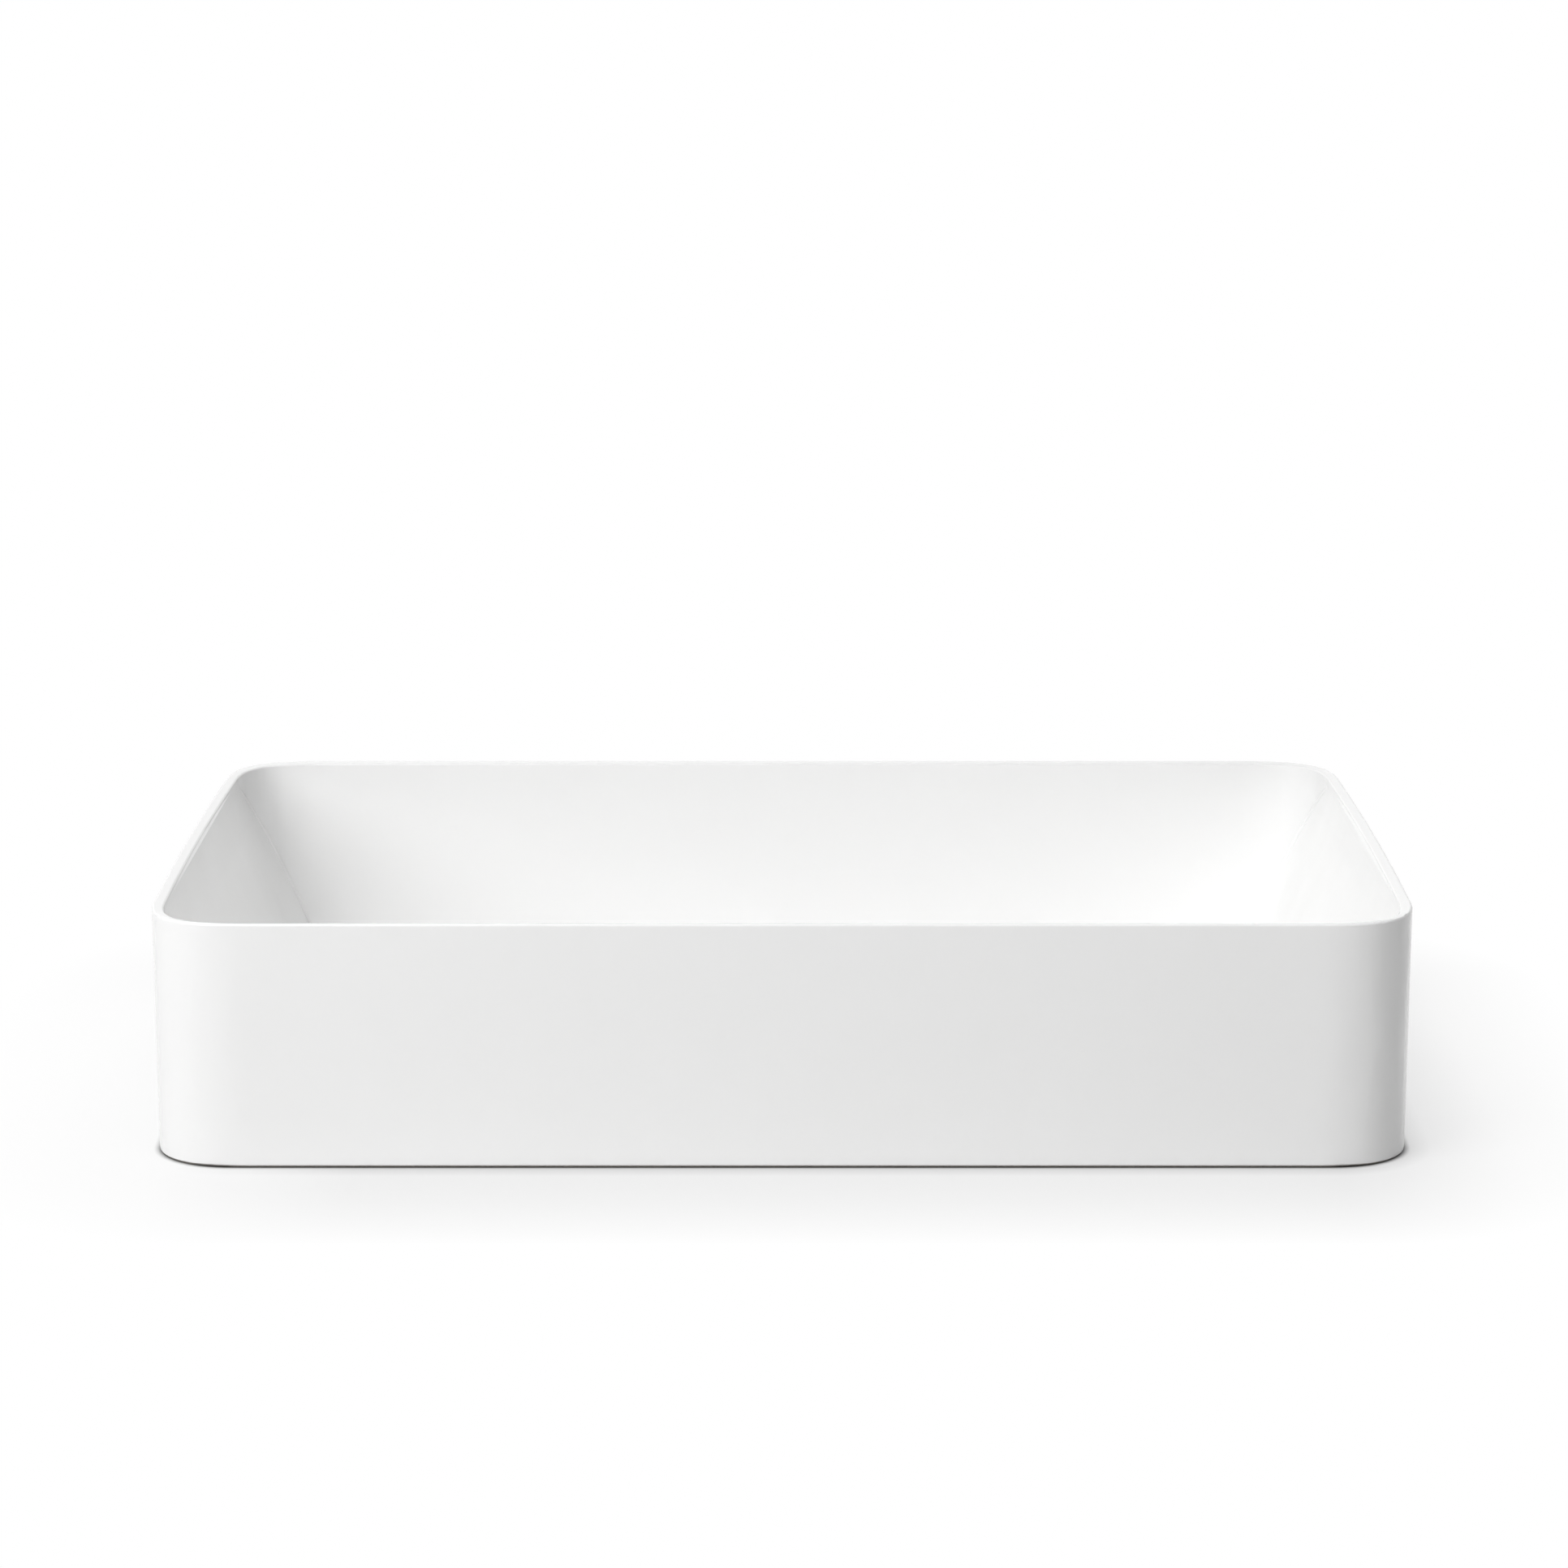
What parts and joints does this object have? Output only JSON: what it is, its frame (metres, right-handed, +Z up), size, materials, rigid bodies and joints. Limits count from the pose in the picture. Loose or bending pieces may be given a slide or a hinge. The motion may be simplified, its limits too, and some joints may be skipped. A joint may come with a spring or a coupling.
{
  "type": "countertop washbasin",
  "caption": "Rectangular white ceramic bowl with a thin rim, rounded corners and sloping ends that stands on a worktop, with a push-open waste.",
  "frame": {"origin": "centre of the bowl's foot, on the worktop's surface, on the axis of the outlet", "axes": "+X to the right along the bowl's length, +Y to the back, +Z up out of the outlet"},
  "size_m": [0.5998, 0.38, 0.2175],
  "materials": {
    "glaze": "gloss white glaze",
    "plated_brass": "polished chrome plate on brass",
    "raw_brass": "turned",
    "rubber": "matt black",
    "foam_seal": "soft pale grey",
    "white_plastic": "matt white",
    "nut_plastic": "moulded black",
    "cartridge_plastic": "moulded grey",
    "drum_plastic": "moulded natural",
    "steel": "stainless"
  },
  "bodies": {
    "basin": {"basin_bowl": "glaze", "flange_seal": "foam_seal", "waste_body": "plated_brass", "cone_seal": "rubber", "slip_washer": "white_plastic", "back_nut": "nut_plastic", "tail_seal": "white_plastic", "tail_pipe": "plated_brass", "cartridge_body": "cartridge_plastic", "cartridge_lock_nut": "raw_brass", "cartridge_cap": "cartridge_plastic", "wiper_ring": "rubber", "track_pin": "steel", "return_spring": "steel"},
    "plug": {"plug_cap": "plated_brass", "plug_carrier": "cartridge_plastic", "plug_seal": "rubber", "plunger": "raw_brass", "plunger_clip": "steel", "thrust_washer": "white_plastic"},
    "latch": {"latch_drum": "drum_plastic"}
  },
  "joints": [
    {"name": "plug_press", "type": "slide", "parent": "basin", "child": "plug", "axis": [0, 0, 1], "range_m": [-0.009, 0], "stiffness_N_per_m": 600, "springref_m": 0.006, "deforming": ["return_spring"]},
    {"name": "latch_turn", "type": "hinge", "parent": "plug", "child": "latch", "pos_m": [0, 0, 0], "axis": [0, 0, 1], "range_deg": [0, 45]}
  ],
  "couplings": [
    {"joint": "latch_turn", "follows": "plug_press", "rad_per_m": -87.266}
  ]
}
